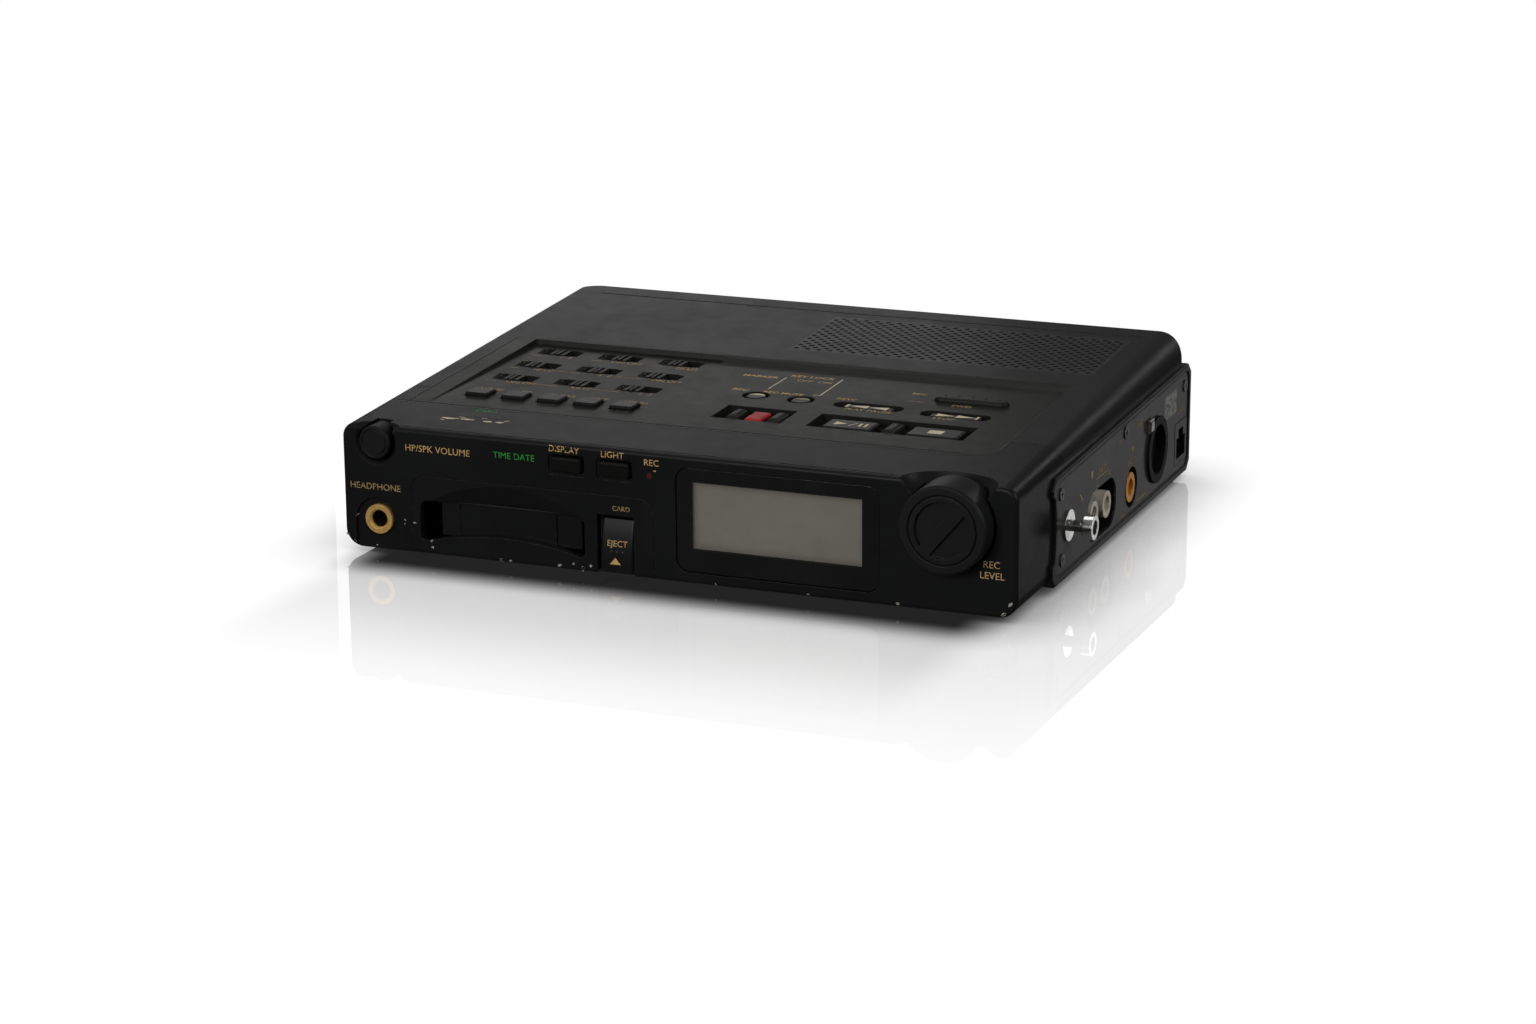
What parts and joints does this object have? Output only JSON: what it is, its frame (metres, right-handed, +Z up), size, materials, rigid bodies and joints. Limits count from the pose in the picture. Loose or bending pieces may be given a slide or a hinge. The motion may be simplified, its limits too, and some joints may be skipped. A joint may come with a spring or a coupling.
{
  "type": "portable solid-state sound recorder",
  "caption": "Portable field sound recorder: wedge-shaped case, key deck, speaker grille, card slot, display, level knob and side sockets.",
  "frame": {"origin": "on the floor under the middle of the whole object", "axes": "+X to the right of someone facing the front, along the width; +Y to the back; +Z up"},
  "size_m": [0.286, 0.2256, 0.0582],
  "materials": {
    "case_plastic": "satin moulded, near black",
    "plate_plastic": "satin moulded, near black with an olive cast",
    "knob_plastic": "satin moulded",
    "button_plastic": "satin moulded, slightly polished by use",
    "switch_plastic": "semi-gloss moulded",
    "record_red": "semi-gloss red",
    "gold_ring": "polished gold plate",
    "line_socket": "cream ring with a plated barrel",
    "digital_socket": "orange ring with a plated barrel",
    "socket_black": "black moulded insert",
    "bare_metal": "bare worn metal",
    "jack_plate_paint": "satin dark paint, rubbed through",
    "post_chrome": "polished",
    "pot_metal": "plain",
    "circuit_board": "solder mask",
    "speaker_steel": "plain",
    "cage_steel": "plain",
    "battery_cell": "plain sleeve",
    "contact_metal": "plated",
    "window_clear": "clear cover with a dark printed border",
    "lcd_glass": "grey-green reflective panel",
    "led_lens": "diffused lens, off",
    "foot_rubber": "matt",
    "screw_steel": "blackened"
  },
  "bodies": {
    "case": {"front_bezel": "case_plastic", "card_panel": "case_plastic", "top_cover": "case_plastic", "bottom_case": "case_plastic", "control_plate": "plate_plastic", "speaker_grille": "case_plastic", "jack_frame": "case_plastic", "jack_plate": "jack_plate_paint", "lcd_window": "window_clear", "lcd_panel": "lcd_glass", "headphone_jack": "gold_ring", "line_sockets": "line_socket", "digital_socket": "digital_socket", "xlr_socket": "socket_black", "modular_socket": "socket_black", "strap_posts": "post_chrome", "volume_pot": "pot_metal", "level_pot": "pot_metal", "main_board": "circuit_board", "key_board": "circuit_board", "slide_switch_bodies": "pot_metal", "speaker_driver": "speaker_steel", "mic_bar": "plate_plastic", "card_cage": "cage_steel", "battery_cells": "battery_cell", "battery_contacts": "contact_metal", "rec_led": "led_lens", "rubber_feet": "foot_rubber", "case_screws": "screw_steel"},
    "volume_knob": {"volume_knob": "knob_plastic"},
    "rec_level_outer_knob": {"rec_level_outer_knob": "knob_plastic"},
    "rec_level_inner_knob": {"rec_level_inner_knob": "knob_plastic"},
    "switch_lever_1": {"switch_lever_1": "switch_plastic"},
    "switch_lever_2": {"switch_lever_2": "switch_plastic"},
    "switch_lever_3": {"switch_lever_3": "switch_plastic"},
    "switch_lever_4": {"switch_lever_4": "switch_plastic"},
    "switch_lever_5": {"switch_lever_5": "switch_plastic"},
    "switch_lever_6": {"switch_lever_6": "switch_plastic"},
    "switch_lever_7": {"switch_lever_7": "switch_plastic"},
    "switch_lever_8": {"switch_lever_8": "switch_plastic"},
    "switch_lever_9": {"switch_lever_9": "switch_plastic"},
    "keypad_button_1": {"keypad_button_1": "button_plastic"},
    "keypad_button_2": {"keypad_button_2": "button_plastic"},
    "keypad_button_3": {"keypad_button_3": "button_plastic"},
    "keypad_button_4": {"keypad_button_4": "button_plastic"},
    "keypad_button_5": {"keypad_button_5": "button_plastic"},
    "marker_button": {"marker_button": "button_plastic"},
    "lock_button": {"lock_button": "button_plastic"},
    "rewind_button": {"rewind_button": "button_plastic"},
    "forward_button": {"forward_button": "button_plastic"},
    "rec_button": {"rec_button": "record_red"},
    "play_pause_button": {"play_pause_button": "button_plastic"},
    "stop_button": {"stop_button": "button_plastic"},
    "display_button": {"display_button": "button_plastic"},
    "light_button": {"light_button": "button_plastic"},
    "slot_flap": {"slot_flap": "case_plastic"},
    "eject_lever": {"eject_lever": "button_plastic"},
    "ejector_slide": {"ejector_slide": "case_plastic"},
    "xlr_latch": {"xlr_latch": "bare_metal"},
    "battery_door": {"battery_door": "case_plastic"}
  },
  "joints": [
    {"name": "volume_knob_turn", "type": "hinge", "parent": "case", "child": "volume_knob", "pos_m": [-0.118, -0.10375, 0.0433], "axis": [0, 1, 0], "range_deg": [-145, 145]},
    {"name": "rec_level_outer_knob_turn", "type": "hinge", "parent": "case", "child": "rec_level_outer_knob", "pos_m": [0.1072, -0.10375, 0.0344], "axis": [0, 1, 0], "range_deg": [-140, 140]},
    {"name": "rec_level_inner_knob_turn", "type": "hinge", "parent": "case", "child": "rec_level_inner_knob", "pos_m": [0.1072, -0.10375, 0.0344], "axis": [0, 1, 0], "range_deg": [-140, 140]},
    {"name": "switch_lever_1_travel", "type": "slide", "parent": "case", "child": "switch_lever_1", "axis": [1, 0, 0], "range_m": [-0.0022, 0.0038]},
    {"name": "switch_lever_2_travel", "type": "slide", "parent": "case", "child": "switch_lever_2", "axis": [1, 0, 0], "range_m": [-0.0042, 0.0018]},
    {"name": "switch_lever_3_travel", "type": "slide", "parent": "case", "child": "switch_lever_3", "axis": [1, 0, 0], "range_m": [-0.001, 0.005]},
    {"name": "switch_lever_4_travel", "type": "slide", "parent": "case", "child": "switch_lever_4", "axis": [1, 0, 0], "range_m": [-0.0016, 0.0044]},
    {"name": "switch_lever_5_travel", "type": "slide", "parent": "case", "child": "switch_lever_5", "axis": [1, 0, 0], "range_m": [-0.0026, 0.0034]},
    {"name": "switch_lever_6_travel", "type": "slide", "parent": "case", "child": "switch_lever_6", "axis": [1, 0, 0], "range_m": [-0.0012, 0.0048]},
    {"name": "switch_lever_7_travel", "type": "slide", "parent": "case", "child": "switch_lever_7", "axis": [1, 0, 0], "range_m": [-0.003, 0.003]},
    {"name": "switch_lever_8_travel", "type": "slide", "parent": "case", "child": "switch_lever_8", "axis": [1, 0, 0], "range_m": [-0.0036, 0.0024]},
    {"name": "switch_lever_9_travel", "type": "slide", "parent": "case", "child": "switch_lever_9", "axis": [1, 0, 0], "range_m": [-0.0014, 0.0046]},
    {"name": "keypad_button_1_travel", "type": "slide", "parent": "case", "child": "keypad_button_1", "axis": [0, 0, -1], "range_m": [0, 0.001], "stiffness_N_per_m": 400, "springref_m": -0.0005},
    {"name": "keypad_button_2_travel", "type": "slide", "parent": "case", "child": "keypad_button_2", "axis": [0, 0, -1], "range_m": [0, 0.001], "stiffness_N_per_m": 400, "springref_m": -0.0005},
    {"name": "keypad_button_3_travel", "type": "slide", "parent": "case", "child": "keypad_button_3", "axis": [0, 0, -1], "range_m": [0, 0.001], "stiffness_N_per_m": 400, "springref_m": -0.0005},
    {"name": "keypad_button_4_travel", "type": "slide", "parent": "case", "child": "keypad_button_4", "axis": [0, 0, -1], "range_m": [0, 0.001], "stiffness_N_per_m": 400, "springref_m": -0.0005},
    {"name": "keypad_button_5_travel", "type": "slide", "parent": "case", "child": "keypad_button_5", "axis": [0, 0, -1], "range_m": [0, 0.001], "stiffness_N_per_m": 400, "springref_m": -0.0005},
    {"name": "marker_button_travel", "type": "slide", "parent": "case", "child": "marker_button", "axis": [0, 0, -1], "range_m": [0, 0.001], "stiffness_N_per_m": 400, "springref_m": -0.0005},
    {"name": "lock_button_travel", "type": "slide", "parent": "case", "child": "lock_button", "axis": [0, 0, -1], "range_m": [0, 0.001], "stiffness_N_per_m": 400, "springref_m": -0.0005},
    {"name": "rewind_button_travel", "type": "slide", "parent": "case", "child": "rewind_button", "axis": [0, 0, -1], "range_m": [0, 0.001], "stiffness_N_per_m": 400, "springref_m": -0.0005},
    {"name": "forward_button_travel", "type": "slide", "parent": "case", "child": "forward_button", "axis": [0, 0, -1], "range_m": [0, 0.001], "stiffness_N_per_m": 400, "springref_m": -0.0005},
    {"name": "rec_button_travel", "type": "slide", "parent": "case", "child": "rec_button", "axis": [0, 0, -1], "range_m": [0, 0.001], "stiffness_N_per_m": 400, "springref_m": -0.0005},
    {"name": "play_pause_button_travel", "type": "slide", "parent": "case", "child": "play_pause_button", "axis": [0, 0, -1], "range_m": [0, 0.001], "stiffness_N_per_m": 400, "springref_m": -0.0005},
    {"name": "stop_button_travel", "type": "slide", "parent": "case", "child": "stop_button", "axis": [0, 0, -1], "range_m": [0, 0.001], "stiffness_N_per_m": 400, "springref_m": -0.0005},
    {"name": "display_button_travel", "type": "slide", "parent": "case", "child": "display_button", "axis": [0, 1, 0], "range_m": [0, 0.0012], "stiffness_N_per_m": 400, "springref_m": -0.0005},
    {"name": "light_button_travel", "type": "slide", "parent": "case", "child": "light_button", "axis": [0, 1, 0], "range_m": [0, 0.0012], "stiffness_N_per_m": 400, "springref_m": -0.0005},
    {"name": "slot_flap_turn", "type": "hinge", "parent": "case", "child": "slot_flap", "pos_m": [-0.065, -0.09885, 0.0219], "axis": [1, 0, 0], "range_deg": [0, 78], "stiffness_Nm_per_rad": 0.0006, "springref_deg": -17.19},
    {"name": "eject_lever_travel", "type": "slide", "parent": "case", "child": "eject_lever", "axis": [0, 1, 0], "range_m": [0, 0.004], "stiffness_N_per_m": 450, "springref_m": -0.001},
    {"name": "ejector_slide_travel", "type": "slide", "parent": "case", "child": "ejector_slide", "axis": [0, -1, 0], "range_m": [0, 0.007]},
    {"name": "xlr_latch_travel", "type": "slide", "parent": "case", "child": "xlr_latch", "axis": [-1, 0, 0], "range_m": [0, 0.002], "stiffness_N_per_m": 500, "springref_m": -0.0006},
    {"name": "battery_door_travel", "type": "slide", "parent": "case", "child": "battery_door", "axis": [0, 1, 0], "range_m": [0, 0.064]}
  ],
  "couplings": [
    {"joint": "ejector_slide_travel", "follows": "eject_lever_travel", "ratio": 1.75}
  ]
}
